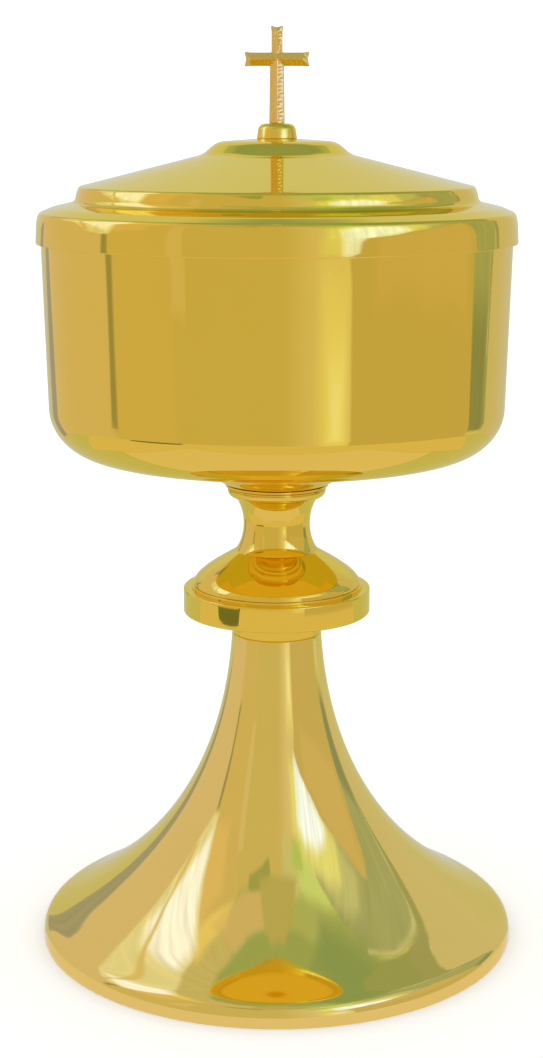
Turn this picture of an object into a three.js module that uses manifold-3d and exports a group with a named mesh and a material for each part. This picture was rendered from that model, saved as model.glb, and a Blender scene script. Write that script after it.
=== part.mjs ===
// A lidded ciborium in gold-plated brass, in millimetres, +Z up, standing on z = 0.
// The foot, knop, stem and bowl are stacked on one tie rod, whose head is brazed under the bowl and whose nut
// pulls up inside the hollow foot. The lid is a loose spun shell that drops over the stepped rim of the bowl and
// carries a cast cross on a small turned boss.
import * as THREE from "three";
import { mergeVertices } from "three/addons/utils/BufferGeometryUtils.js";
import Module from "manifold-3d";

// Fits
const BORE_CLEARANCE = 0.3; // a rod or spigot in its hole, on the radius
const LID_CLEARANCE = 0.4; // the lid's skirt round the bowl, on the radius
const LID_SEAT_GAP = 0.3; // the lid's shoulder above the rim

// Foot, a spun trumpet with a flat top and a hem turned in under its edge
const FOOT_HEIGHT = 83.6;
const FOOT_RADIUS = 63.6;
const FOOT_WALL = 1.2;
const FOOT_NECK_RADIUS = 11.9;
const FOOT_NECK_EDGE = 0.5; // fillet round the flat top
const FOOT_NECK_LEAN = 3; // how far the flare has spread at the end of its straight pull
const FOOT_NECK_PULL = 46.4; // height over which the neck stays nearly straight
const FOOT_BRIM_WIDTH = 11.85; // outside the flare
const FOOT_BRIM_HEIGHT = 11.1; // where the flare passes into the brim
const FOOT_BRIM_SLOPE = 33.8; // degrees, where they meet
const FOOT_FLARE_RUN = 13.7; // over which the foot of the flare keeps near this slope
const FOOT_BRIM_RUN = 11.9; // over which the brim keeps near it
const FOOT_EDGE_ROLL = 5.85; // height over which the edge of the brim rolls to the upright
const FOOT_HEM_WIDTH = 3.4;
const FOOT_HEM_BEVEL = 0.4;

// Tie rod and what clamps it
const ROD_RADIUS = 3;
const ROD_HEAD_RADIUS = 8;
const ROD_HEAD_HEIGHT = 1.6;
const ROD_END_LENGTH = 4; // shows past the nut
const ROD_END_CHAMFER = 0.6;
const CLAMP_WASHER_RADIUS = 8.5;
const CLAMP_WASHER_THICKNESS = 1.5;
const SPRING_WASHER_RADIUS = 5.4;
const SPRING_WASHER_THICKNESS = 1.6;
const SPRING_WASHER_SLIT = 14; // degrees
const CLAMP_NUT_FLATS = 10;
const CLAMP_NUT_HEIGHT = 5;

// Lower collar, a cove between the foot and the knop
const LOWER_COLLAR_HEIGHT = 5.7;
const LOWER_COLLAR_SETBACK = 0.2; // inside the foot's neck
const LOWER_COLLAR_BAND = 3.4; // straight part above the joint
const LOWER_COLLAR_FLARE = 2.4;

// Knop: a flat-rimmed ring, and a dome set into it
const KNOP_RADIUS = 24.7;
const KNOP_RIM_HEIGHT = 6.7;
const KNOP_RIM_FILLET = 0.5;
const KNOP_LEDGE_WIDTH = 2.1;
const KNOP_STEP_HEIGHT = 0.7;
const KNOP_STEP_WIDTH = 0.6;
const DOME_LIP_HEIGHT = 0.9;
const DOME_RISE = 8.3;
const DOME_FOOT_LEAN = 1.3; // how far the dome has leant in at the end of its steep pull
const DOME_FOOT_PULL = 2.9; // height over which the dome stays steep
const DOME_TOP_RUN = 3.3; // run of the nearly flat top
const DOME_TOP_DROP = 2;
const DOME_SPIGOT_INSET = 4;
const DOME_SPIGOT_DEPTH = 2;

// Spool, the waisted neck over the knop
const SPOOL_HEIGHT = 14.3;
const SPOOL_END_RADIUS = 10.9;
const SPOOL_WAIST_RADIUS = 8.75;
const SPOOL_END_PULL = 3.8;

// Ovolo ring and bowl collar, the mouldings under the bowl
const OVOLO_RADIUS = 12.9;
const OVOLO_HEIGHT = 2.5;
const QUIRK_DEPTH = 0.4;
const QUIRK_HEIGHT = 0.4;
const BOWL_COLLAR_HEIGHT = 5.3;
const BOWL_COLLAR_RADIUS = 17.4; // against the bowl
const COLLAR_BEAD_RADIUS = 13.5;
const COLLAR_BEAD_HEIGHT = 0.9;
const COLLAR_FLARE_RISE = 1.3; // of its flatter, lower part
const COLLAR_FLARE_SETBACK = 0.8; // of its steeper, upper part

// Bowl, a spun cup with a flat seat below and a stepped-in rim
const BOWL_RADIUS = 60.1;
const BOWL_HEIGHT = 65.1;
const BOWL_WALL = 1;
const BOWL_TAPER = 1.35; // narrower at the foot of the wall
const BOWL_CORNER_HEIGHT = 6.2;
const BOWL_CORNER_FILLET = 12;
const BOWL_SEAT_MARGIN = 0.4;
const BOWL_SEAT_FILLET = 40;
const RIM_STEP = 0.7;
const RIM_DEPTH = 5.3;
const RIM_STEP_HEIGHT = 1.2;

// Lid, a spun shell: skirt, shoulder, tier, cone and crown
const LID_WALL = 0.9;
const SKIRT_HEIGHT = 8.1;
const SHOULDER_WIDTH = 9.4;
const SHOULDER_RISE = 2.4;
const SHOULDER_FILLET = 4.5;
const TIER_HEIGHT = 3;
const TIER_LEAN = 0.7;
const TIER_FILLET = 3;
const TIER_COVE = 1.1;
const CONE_RISE = 8.3;
const CONE_COVE = 5;
const CROWN_RADIUS = 15.1;
const CROWN_SPREAD = 3.8;
const CROWN_HEIGHT = 2.95;
const CROWN_FILLET = 5;
const CROWN_DOME_RISE = 0.65;
const BOSS_SEAT_MARGIN = 0.4;

// Boss and cross on top of the lid, with the stud, washer and cap nut that hold them
const BOSS_RADIUS = 5.15;
const BOSS_HEIGHT = 3.8;
const BOSS_TAPER = 0.6;
const BOSS_FILLET = 1.8;
const STUD_RADIUS = 2;
const STUD_DEPTH = 2; // in the boss
const LID_WASHER_RADIUS = 4.6;
const LID_WASHER_THICKNESS = 0.8;
const CAP_NUT_FLATS = 7;
const CAP_NUT_HEX_HEIGHT = 3.2;
const CAP_NUT_DOME_INSET = 0.4;
const CAP_NUT_TOP = 1.2; // metal past the end of the stud
const CROSS_HEIGHT = 23.95;
const CROSS_SPAN = 16.4;
const CROSS_BAR_DROP = 8.2; // from the top down to the middle of the bar
const CROSS_ARM_WIDTH = 2.8; // the upper arm, next to the crossing
const CROSS_BAR_WIDTH = 3.3;
const CROSS_SHAFT_WIDTH = 3.55; // the lower arm, next to the crossing
const CROSS_SHAFT_FOOT_WIDTH = 3.95;
const CROSS_END_FLARE = 0.15; // on each side of an arm's end
const CROSS_NOTCH = 0.45; // depth of the fishtail
const CROSS_RIDGE_DEPTH = 2.9; // front ridge to back ridge
const CROSS_EDGE_DEPTH = 1.3;
const CROSS_HIP = 1.6;
const TENON_RADIUS = 1.2;
const TENON_DEPTH = 1;

// Facets round a full turn
const SPUN_FACETS = 40;
const TURNED_FACETS = 28;
const SMALL_FACETS = 16;
const FILLET_STEP = 22; // degrees of a fillet to one facet
const SMALL_FILLET = 0.8; // up to this radius a fillet has half as many facets
const FILLET_ROOM = 0.98; // share of the straights beside a corner that its fillet may take

const goldPlate = new THREE.MeshStandardMaterial({ color: 0xd4a93a, roughness: 0.08, metalness: 1 });
const castGold = new THREE.MeshStandardMaterial({ color: 0xd09a30, roughness: 0.22, metalness: 1 });
const brass = new THREE.MeshStandardMaterial({ color: 0xb59a4c, roughness: 0.35, metalness: 1 });
const zincSteel = new THREE.MeshStandardMaterial({ color: 0x9a9c9e, roughness: 0.38, metalness: 1 });

const wasm = await Module();
wasm.setup();

const point = (r, z) => new THREE.Vector2(r, z);
const radians = THREE.MathUtils.degToRad;

// Rounds the corners of an outline. Each corner is [r, z] or [r, z, fillet radius], and only the radius of a
// corner that has a neighbour on both sides is used. A fillet is limited by the straights beside it.
function rounded(corners) {
  const made = [];
  corners.forEach(([r, z, fillet = 0], i) => {
    const corner = point(r, z);
    if (!fillet || i === 0 || i === corners.length - 1) {
      made.push(corner);
      return;
    }
    const before = point(...corners[i - 1]).sub(corner);
    const after = point(...corners[i + 1]).sub(corner);
    const room = Math.min(before.length(), after.length()) * FILLET_ROOM;
    before.normalize();
    after.normalize();
    const halfAngle = Math.acos(THREE.MathUtils.clamp(before.dot(after), -1, 1)) / 2;
    const reach = Math.min(fillet / Math.tan(halfAngle), room);
    const radius = reach * Math.tan(halfAngle);
    const centre = before.clone().add(after).normalize().multiplyScalar(radius / Math.sin(halfAngle)).add(corner);
    const start = before.multiplyScalar(reach).add(corner).sub(centre);
    const end = after.multiplyScalar(reach).add(corner).sub(centre);
    const sweep = Math.atan2(start.cross(end), start.dot(end));
    const step = radians(fillet > SMALL_FILLET ? FILLET_STEP : 2 * FILLET_STEP);
    const facets = Math.max(1, Math.round(Math.abs(sweep) / step));
    for (let k = 0; k <= facets; k++) {
      made.push(start.clone().rotateAround(new THREE.Vector2(), (sweep * k) / facets).add(centre));
    }
  });
  return made;
}

// The other face of a sheet whose one face is this outline: each point moves by the wall, to the right of the
// way the outline runs. A bend tighter than the wall is left as a corner.
function offset(outline, wall) {
  const made = [];
  let last;
  outline.forEach((p, i) => {
    const before = p.clone().sub(outline[i - 1] ?? p).normalize();
    const after = (outline[i + 1] ?? p).clone().sub(p).normalize();
    const along = before.clone().add(after).normalize();
    const stretch = wall / along.dot(i ? before : after);
    const moved = point(p.x + along.y * stretch, p.y - along.x * stretch);
    if (last && moved.clone().sub(made.at(-1)).dot(p.clone().sub(last)) <= 0) return;
    made.push(moved);
    last = p;
  });
  return made;
}

// Height of an outline at a radius, on its first stretch that passes it.
function heightAt(outline, r) {
  for (let i = 1; i < outline.length; i++) {
    const [a, b] = [outline[i - 1], outline[i]];
    if (Math.min(a.x, b.x) <= r && r <= Math.max(a.x, b.x) && a.x !== b.x) {
      return a.y + ((b.y - a.y) * (r - a.x)) / (b.x - a.x);
    }
  }
  return outline.at(-1).y;
}

// A turned solid about Z. The outline closes on itself unless it starts and ends on the axis.
function turned(outline, facets) {
  const onAxis = outline[0].x === 0 && outline.at(-1).x === 0;
  const loop = onAxis ? [...outline] : [...outline, outline[0].clone()];
  let area = 0;
  loop.forEach((p, i) => {
    area += p.cross(loop[(i + 1) % loop.length]);
  });
  if (area < 0) loop.reverse();
  return new THREE.LatheGeometry(loop, facets).rotateX(Math.PI / 2);
}

// Half the outline of a ring: bore, then the outer edge from the bottom up.
function ring(bore, height, outer) {
  return [point(bore, height), point(bore, 0), ...outer];
}

// A closed geometry as a solid that can be joined and cut, and back.
function solid(geometry) {
  const bare = geometry.index ? geometry.toNonIndexed() : geometry.clone();
  bare.deleteAttribute("normal");
  bare.deleteAttribute("uv");
  const merged = mergeVertices(bare, 1e-4);
  return new wasm.Manifold(
    new wasm.Mesh({
      numProp: 3,
      vertProperties: new Float32Array(merged.attributes.position.array),
      triVerts: new Uint32Array(merged.index.array),
    }),
  );
}
function geometryOf(body) {
  const mesh = body.getMesh();
  const made = new THREE.BufferGeometry();
  made.setAttribute("position", new THREE.BufferAttribute(new Float32Array(mesh.vertProperties), 3));
  made.setIndex(new THREE.BufferAttribute(new Uint32Array(mesh.triVerts), 1));
  const faceted = made.toNonIndexed();
  faceted.computeVertexNormals();
  return faceted;
}

// A flat outline pulled along Z by its thickness.
function slab(shape, thickness, curveSegments = SMALL_FACETS) {
  return new THREE.ExtrudeGeometry(shape, { depth: thickness, bevelEnabled: false, curveSegments });
}

// A six-sided outline measured across its flats, with a round hole when it has a bore.
function hexagon(flats, bore) {
  const corners = Array.from({ length: 6 }, (_, k) => {
    const angle = radians(60 * k + 30);
    return point(Math.cos(angle), Math.sin(angle)).multiplyScalar(flats / 2 / Math.cos(radians(30)));
  });
  const shape = new THREE.Shape(corners);
  if (bore) shape.holes.push(new THREE.Path().absarc(0, 0, bore, 0, 2 * Math.PI, true));
  return shape;
}

const ciborium = new THREE.Group();
const lid = new THREE.Group();
function place(group, name, geometry, material, z) {
  const mesh = new THREE.Mesh(geometry, material);
  mesh.name = name;
  mesh.position.z = z;
  group.add(mesh);
}

const rodBore = ROD_RADIUS + BORE_CLEARANCE;

// Foot: the flare is one cubic and the brim that rolls over to the upright another. They meet at one slope. The hem
// is turned in under the brim.
function footShell() {
  const meeting = point(FOOT_RADIUS - FOOT_BRIM_WIDTH, FOOT_BRIM_HEIGHT);
  const slope = point(1, 0).rotateAround(new THREE.Vector2(), -radians(FOOT_BRIM_SLOPE));
  const flare = new THREE.CubicBezierCurve(
    point(FOOT_NECK_RADIUS, FOOT_HEIGHT - FOOT_NECK_EDGE),
    point(FOOT_NECK_RADIUS + FOOT_NECK_LEAN, FOOT_HEIGHT - FOOT_NECK_PULL),
    meeting.clone().addScaledVector(slope, -FOOT_FLARE_RUN),
    meeting,
  ).getPoints(9);
  const neck = flare.shift();
  const brim = new THREE.CubicBezierCurve(
    meeting,
    meeting.clone().addScaledVector(slope, FOOT_BRIM_RUN),
    point(FOOT_RADIUS, FOOT_HEM_BEVEL + FOOT_EDGE_ROLL),
    point(FOOT_RADIUS, FOOT_HEM_BEVEL),
  ).getPoints(6);
  const hem = [point(FOOT_RADIUS - FOOT_HEM_BEVEL, 0), point(FOOT_RADIUS - FOOT_HEM_WIDTH, 0)];
  const top = rounded([
    [rodBore, FOOT_HEIGHT],
    [FOOT_NECK_RADIUS, FOOT_HEIGHT, FOOT_NECK_EDGE],
    [neck.x, neck.y - FOOT_NECK_EDGE],
  ]);
  const outside = [...top, ...flare, ...brim.slice(1), ...hem];
  return turned([...outside, ...offset(outside, FOOT_WALL).reverse()], SPUN_FACETS);
}

function lowerCollar() {
  const foot = FOOT_NECK_RADIUS - LOWER_COLLAR_SETBACK;
  const cove = new THREE.QuadraticBezierCurve(
    point(foot, LOWER_COLLAR_BAND),
    point(foot, LOWER_COLLAR_HEIGHT - FOOT_NECK_EDGE),
    point(foot + LOWER_COLLAR_FLARE, LOWER_COLLAR_HEIGHT),
  ).getPoints(4);
  return turned(ring(rodBore, LOWER_COLLAR_HEIGHT, [point(foot, 0), ...cove]), TURNED_FACETS);
}

const domeRadius = KNOP_RADIUS - KNOP_LEDGE_WIDTH - KNOP_STEP_WIDTH;
const spigotRadius = domeRadius - DOME_SPIGOT_INSET;
const knopHeight = KNOP_RIM_HEIGHT + KNOP_STEP_HEIGHT;

// Knop ring: a rim with a ledge and a narrow step, and a recess that takes the dome's spigot.
function knopRing() {
  const recess = spigotRadius + BORE_CLEARANCE;
  const floor = knopHeight - DOME_SPIGOT_DEPTH - BORE_CLEARANCE;
  const rim = rounded([
    [rodBore, 0],
    [KNOP_RADIUS, 0, KNOP_RIM_FILLET],
    [KNOP_RADIUS, KNOP_RIM_HEIGHT, KNOP_RIM_FILLET],
    [KNOP_RADIUS - KNOP_LEDGE_WIDTH, KNOP_RIM_HEIGHT],
    [KNOP_RADIUS - KNOP_LEDGE_WIDTH, knopHeight],
    [recess, knopHeight],
    [recess, floor],
    [rodBore, floor],
  ]);
  return turned(rim, SPUN_FACETS);
}

// Knop dome: an upright lip, then a dome that turns in to the foot of the spool.
function knopDome() {
  const top = DOME_LIP_HEIGHT + DOME_RISE;
  const dome = new THREE.CubicBezierCurve(
    point(domeRadius, DOME_LIP_HEIGHT),
    point(domeRadius - DOME_FOOT_LEAN, DOME_LIP_HEIGHT + DOME_FOOT_PULL),
    point(SPOOL_END_RADIUS + DOME_TOP_RUN, top - DOME_TOP_DROP),
    point(SPOOL_END_RADIUS, top),
  ).getPoints(6);
  const outline = [
    point(rodBore, top),
    point(rodBore, -DOME_SPIGOT_DEPTH),
    point(spigotRadius, -DOME_SPIGOT_DEPTH),
    point(spigotRadius, 0),
    point(domeRadius, 0),
    ...dome,
  ];
  return turned(outline, SPUN_FACETS);
}

// Spool: one cubic whose middle is the waist.
function neckSpool() {
  const pull = (8 * SPOOL_WAIST_RADIUS - 2 * SPOOL_END_RADIUS) / 6;
  const waist = new THREE.CubicBezierCurve(
    point(SPOOL_END_RADIUS, 0),
    point(pull, SPOOL_END_PULL),
    point(pull, SPOOL_HEIGHT - SPOOL_END_PULL),
    point(SPOOL_END_RADIUS, SPOOL_HEIGHT),
  ).getPoints(8);
  return turned(ring(rodBore, SPOOL_HEIGHT, waist), TURNED_FACETS);
}

// Ovolo ring: a quarter round that springs from the spool, a short upright, then a narrow quirk.
function ovoloRing() {
  const upright = OVOLO_HEIGHT - QUIRK_HEIGHT;
  const outer = rounded([
    [SPOOL_END_RADIUS, 0],
    [OVOLO_RADIUS, 0, OVOLO_RADIUS - SPOOL_END_RADIUS],
    [OVOLO_RADIUS, upright],
    [OVOLO_RADIUS - QUIRK_DEPTH, upright],
    [OVOLO_RADIUS - QUIRK_DEPTH, OVOLO_HEIGHT],
  ]);
  return turned(ring(rodBore, OVOLO_HEIGHT, outer), TURNED_FACETS);
}

const bowlSeatRadius = BOWL_COLLAR_RADIUS + BOWL_SEAT_MARGIN;

// Bowl collar: a bead and a quirk, then a flare that steepens to the seat of the bowl, counterbored for the head
// of the tie rod.
function bowlCollar() {
  const flareFoot = COLLAR_BEAD_HEIGHT + QUIRK_HEIGHT / 2;
  const flare = new THREE.QuadraticBezierCurve(
    point(COLLAR_BEAD_RADIUS, flareFoot),
    point(BOWL_COLLAR_RADIUS - COLLAR_FLARE_SETBACK, flareFoot + COLLAR_FLARE_RISE),
    point(BOWL_COLLAR_RADIUS, BOWL_COLLAR_HEIGHT),
  ).getPoints(5);
  const headBore = ROD_HEAD_RADIUS + BORE_CLEARANCE;
  const headSeat = BOWL_COLLAR_HEIGHT - ROD_HEAD_HEIGHT;
  const outline = [
    point(rodBore, headSeat),
    point(rodBore, 0),
    point(OVOLO_RADIUS, 0),
    point(COLLAR_BEAD_RADIUS, COLLAR_BEAD_HEIGHT / 2),
    point(COLLAR_BEAD_RADIUS, COLLAR_BEAD_HEIGHT),
    point(COLLAR_BEAD_RADIUS - QUIRK_DEPTH, COLLAR_BEAD_HEIGHT),
    ...flare,
    point(headBore, BOWL_COLLAR_HEIGHT),
    point(headBore, headSeat),
  ];
  return turned(outline, TURNED_FACETS);
}

const rimRadius = BOWL_RADIUS - RIM_STEP;

// Bowl: flat seat, shallow floor, round corner, slightly tapered wall and a rim stepped in for the lid.
function bowl() {
  const shoulder = BOWL_HEIGHT - RIM_DEPTH;
  const outside = rounded([
    [0, 0],
    [bowlSeatRadius, 0, BOWL_SEAT_FILLET],
    [BOWL_RADIUS - BOWL_TAPER, BOWL_CORNER_HEIGHT, BOWL_CORNER_FILLET],
    [BOWL_RADIUS, shoulder - RIM_STEP_HEIGHT, BOWL_WALL],
    [rimRadius, shoulder, 2 * BOWL_WALL],
    [rimRadius, BOWL_HEIGHT],
  ]);
  const inside = offset(outside, -BOWL_WALL);
  inside[0].x = 0;
  return turned([...outside, ...inside.reverse()], SPUN_FACETS);
}

function tieRod(headTop, nutBottom) {
  const length = headTop - nutBottom + ROD_END_LENGTH;
  const neck = length - ROD_HEAD_HEIGHT;
  const outline = [
    point(0, 0),
    point(ROD_RADIUS - ROD_END_CHAMFER, 0),
    point(ROD_RADIUS, ROD_END_CHAMFER),
    point(ROD_RADIUS, neck),
    point(ROD_HEAD_RADIUS, neck),
    point(ROD_HEAD_RADIUS, length),
    point(0, length),
  ];
  return turned(outline, TURNED_FACETS);
}

function washer(radius, bore, thickness, facets) {
  const outer = [point(radius, 0), point(radius, thickness)];
  return turned(ring(bore, thickness, outer), facets);
}

function springWasher() {
  const slit = radians(SPRING_WASHER_SLIT) / 2;
  const shape = new THREE.Shape().absarc(0, 0, SPRING_WASHER_RADIUS, slit, 2 * Math.PI - slit, false);
  shape.absarc(0, 0, rodBore, 2 * Math.PI - slit, slit, true);
  return slab(shape, SPRING_WASHER_THICKNESS);
}

// Lid: half outline of the spun sheet, from the stud hole out and down to the foot of the skirt.
const skirtTopRadius = rimRadius + LID_CLEARANCE + LID_WALL;
const skirtFootRadius = BOWL_RADIUS + LID_CLEARANCE + LID_WALL;
const tierRadius = skirtTopRadius - SHOULDER_WIDTH;
const tierFoot = SKIRT_HEIGHT + SHOULDER_RISE;
const tierTop = tierFoot + TIER_HEIGHT;
const coneTop = tierTop + CONE_RISE;
const crownEdge = coneTop + CROWN_HEIGHT;
const lidHeight = crownEdge + CROWN_DOME_RISE;
const studBore = STUD_RADIUS + BORE_CLEARANCE;

function lidOutline() {
  const bossSeat = BOSS_RADIUS + BOSS_SEAT_MARGIN;
  const coneFoot = tierRadius - TIER_LEAN;
  const coneHead = CROWN_RADIUS + CROWN_SPREAD;
  return rounded([
    [studBore, lidHeight],
    [bossSeat, lidHeight, CROWN_FILLET],
    [CROWN_RADIUS, crownEdge, CROWN_FILLET],
    [coneHead, coneTop, CONE_COVE],
    [coneFoot, tierTop, TIER_FILLET],
    [tierRadius, tierFoot, TIER_COVE],
    [skirtTopRadius, SKIRT_HEIGHT, SHOULDER_FILLET],
    [skirtFootRadius, 0],
  ]);
}
const lidOutside = lidOutline();
const lidInside = offset(lidOutside, LID_WALL);

// The lower edge of the skirt is rolled round the thickness of the sheet.
function lidShell() {
  const last = lidOutside.at(-1);
  const inner = lidInside.at(-1);
  const middle = last.clone().add(inner).multiplyScalar(0.5);
  const roll = [1, 2, 3].map((k) => last.clone().rotateAround(middle, (-Math.PI * k) / 4));
  return turned([...lidOutside, ...roll, ...lidInside.toReversed()], SPUN_FACETS);
}

// Boss: a small bell, with a recess above for the tenon of the cross and a hole below for the stud.
function finialBoss() {
  const topRadius = BOSS_RADIUS - BOSS_TAPER;
  const tenonBore = TENON_RADIUS + BORE_CLEARANCE;
  const tenonFloor = BOSS_HEIGHT - TENON_DEPTH - BORE_CLEARANCE;
  const outline = rounded([
    [0, STUD_DEPTH + BORE_CLEARANCE],
    [studBore, STUD_DEPTH + BORE_CLEARANCE],
    [studBore, 0],
    [BOSS_RADIUS, 0],
    [topRadius, BOSS_HEIGHT, BOSS_FILLET],
    [tenonBore, BOSS_HEIGHT],
    [tenonBore, tenonFloor],
    [0, tenonFloor],
  ]);
  return turned(outline, SMALL_FACETS);
}

const capNutHeight = CAP_NUT_HEX_HEIGHT + CAP_NUT_FLATS / 2 - CAP_NUT_DOME_INSET;
const studBelowLid = LID_WASHER_THICKNESS + capNutHeight - CAP_NUT_TOP - BORE_CLEARANCE;

function finialStud() {
  const length = studBelowLid + LID_WALL + STUD_DEPTH;
  return turned([point(0, 0), point(STUD_RADIUS, 0), point(STUD_RADIUS, length), point(0, length)], SMALL_FACETS);
}

// Cap nut: a hexagon with a dome below it, bored blind from the top.
function capNut() {
  const domeRadius = CAP_NUT_FLATS / 2 - CAP_NUT_DOME_INSET;
  const dome = new THREE.SphereGeometry(domeRadius, SMALL_FACETS, SMALL_FACETS / 2).rotateX(Math.PI / 2);
  dome.translate(0, 0, domeRadius);
  const hex = slab(hexagon(CAP_NUT_FLATS), CAP_NUT_HEX_HEIGHT).translate(0, 0, domeRadius);
  const boreDepth = capNutHeight - CAP_NUT_TOP;
  const bore = new THREE.CylinderGeometry(studBore, studBore, boreDepth, SMALL_FACETS).rotateX(Math.PI / 2);
  bore.translate(0, 0, capNutHeight - boreDepth / 2 + BORE_CLEARANCE / 2);
  return geometryOf(solid(dome).add(solid(hex)).subtract(solid(bore)));
}

// Cross: two ridged bars that mitre where they cross, with hipped ends, trimmed to a front outline whose free
// ends are fishtailed. Its own origin is where the bars cross.
function finialCross() {
  const up = CROSS_BAR_DROP;
  const down = CROSS_HEIGHT - CROSS_BAR_DROP;
  const side = CROSS_SPAN / 2;
  const ridge = CROSS_RIDGE_DEPTH / 2;
  const edge = CROSS_EDGE_DEPTH / 2;
  const widest = Math.max(CROSS_ARM_WIDTH, CROSS_BAR_WIDTH, CROSS_SHAFT_FOOT_WIDTH) / 2 + CROSS_END_FLARE;

  // A bar along X: across it, flat edges and a ridge in front and behind. The ridge drops at a hipped end.
  const gable = new THREE.Shape([
    point(-widest, -edge), point(0, -ridge), point(widest, -edge),
    point(widest, edge), point(0, ridge), point(-widest, edge),
  ]);
  function bar(from, to, startHip) {
    const sides = new THREE.Shape([
      point(from, -edge), point(from + startHip, -ridge), point(to - CROSS_HIP, -ridge), point(to, -edge),
      point(to, edge), point(to - CROSS_HIP, ridge), point(from + startHip, ridge), point(from, edge),
    ]);
    const ridged = slab(gable, to - from).rotateY(Math.PI / 2).translate(from, 0, 0);
    return solid(ridged).intersect(solid(slab(sides, 2 * widest).translate(0, 0, -widest)));
  }
  const crossbar = bar(-side, side, CROSS_HIP);
  const shaft = solid(geometryOf(bar(-down, up, 0)).rotateY(-Math.PI / 2));

  const arm = CROSS_ARM_WIDTH / 2;
  const barHalf = CROSS_BAR_WIDTH / 2;
  const shaftHalf = CROSS_SHAFT_WIDTH / 2;
  const foot = CROSS_SHAFT_FOOT_WIDTH / 2;
  const front = new THREE.Shape();
  front.moveTo(-foot, -down);
  front.lineTo(foot, -down);
  front.lineTo(shaftHalf, -barHalf);
  front.lineTo(side, -barHalf - CROSS_END_FLARE);
  front.quadraticCurveTo(side - 2 * CROSS_NOTCH, 0, side, barHalf + CROSS_END_FLARE);
  front.lineTo(arm, barHalf);
  front.lineTo(arm + CROSS_END_FLARE, up);
  front.quadraticCurveTo(0, up - 2 * CROSS_NOTCH, -arm - CROSS_END_FLARE, up);
  front.lineTo(-arm, barHalf);
  front.lineTo(-side, barHalf + CROSS_END_FLARE);
  front.quadraticCurveTo(-side + 2 * CROSS_NOTCH, 0, -side, -barHalf - CROSS_END_FLARE);
  front.lineTo(-shaftHalf, -barHalf);
  const plate = solid(slab(front, CROSS_RIDGE_DEPTH, 6).rotateX(Math.PI / 2).translate(0, ridge, 0));

  const tenon = new THREE.CylinderGeometry(TENON_RADIUS, TENON_RADIUS, 2 * TENON_DEPTH, SMALL_FACETS)
    .rotateX(Math.PI / 2)
    .translate(0, 0, -down);
  return geometryOf(shaft.add(crossbar).intersect(plate).add(solid(tenon)));
}

// The stack, from the foot up
const knopBottom = FOOT_HEIGHT + LOWER_COLLAR_HEIGHT;
const domeBottom = knopBottom + knopHeight;
const spoolBottom = domeBottom + DOME_LIP_HEIGHT + DOME_RISE;
const ovoloBottom = spoolBottom + SPOOL_HEIGHT;
const bowlCollarBottom = ovoloBottom + OVOLO_HEIGHT;
const bowlBottom = bowlCollarBottom + BOWL_COLLAR_HEIGHT;
const clampWasherBottom = FOOT_HEIGHT - FOOT_WALL - CLAMP_WASHER_THICKNESS;
const springWasherBottom = clampWasherBottom - SPRING_WASHER_THICKNESS;
const clampNutBottom = springWasherBottom - CLAMP_NUT_HEIGHT;

place(ciborium, "foot_shell", footShell(), goldPlate, 0);
place(ciborium, "lower_collar", lowerCollar(), goldPlate, FOOT_HEIGHT);
place(ciborium, "knop_ring", knopRing(), goldPlate, knopBottom);
place(ciborium, "knop_dome", knopDome(), goldPlate, domeBottom);
place(ciborium, "neck_spool", neckSpool(), goldPlate, spoolBottom);
place(ciborium, "ovolo_ring", ovoloRing(), goldPlate, ovoloBottom);
place(ciborium, "bowl_collar", bowlCollar(), goldPlate, bowlCollarBottom);
place(ciborium, "bowl", bowl(), goldPlate, bowlBottom);
place(ciborium, "tie_rod", tieRod(bowlBottom, clampNutBottom), brass, clampNutBottom - ROD_END_LENGTH);
place(ciborium, "clamp_washer", washer(CLAMP_WASHER_RADIUS, rodBore, CLAMP_WASHER_THICKNESS, TURNED_FACETS),
  zincSteel, clampWasherBottom);
place(ciborium, "spring_washer", springWasher(), zincSteel, springWasherBottom);
place(ciborium, "clamp_nut", slab(hexagon(CLAMP_NUT_FLATS, rodBore), CLAMP_NUT_HEIGHT), zincSteel, clampNutBottom);

// The lid rests where its inside meets the rim, and its own parts stand and hang from its crown.
const rimContact = Math.min(heightAt(lidInside, rimRadius), heightAt(lidInside, rimRadius - BOWL_WALL));
const lidBottom = bowlBottom + BOWL_HEIGHT + LID_SEAT_GAP - rimContact;
const lidWasherBottom = lidHeight - LID_WALL - LID_WASHER_THICKNESS;
place(lid, "lid_shell", lidShell(), goldPlate, 0);
place(lid, "finial_boss", finialBoss(), goldPlate, lidHeight);
place(lid, "finial_cross", finialCross(), castGold, lidHeight + BOSS_HEIGHT + CROSS_HEIGHT - CROSS_BAR_DROP);
place(lid, "finial_stud", finialStud(), brass, lidHeight - LID_WALL - studBelowLid);
place(lid, "lid_washer", washer(LID_WASHER_RADIUS, studBore, LID_WASHER_THICKNESS, SMALL_FACETS), brass,
  lidWasherBottom);
place(lid, "cap_nut", capNut(), brass, lidWasherBottom - capNutHeight);
lid.position.z = lidBottom;
ciborium.add(lid);

export default ciborium;
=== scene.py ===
"""A lidded ciborium of gold-plated brass: spun foot, turned knop and stem, spun bowl, and a loose lid with a cross.

Sizes are written in millimetres and made metres by MM. Z is up along the axis and the viewer stands at -Y.
"""

import math
import random

import bmesh
import bpy
import numpy as np
from mathutils import Matrix, Vector, noise
from mathutils.geometry import interpolate_bezier
from mathutils.kdtree import KDTree


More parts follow.
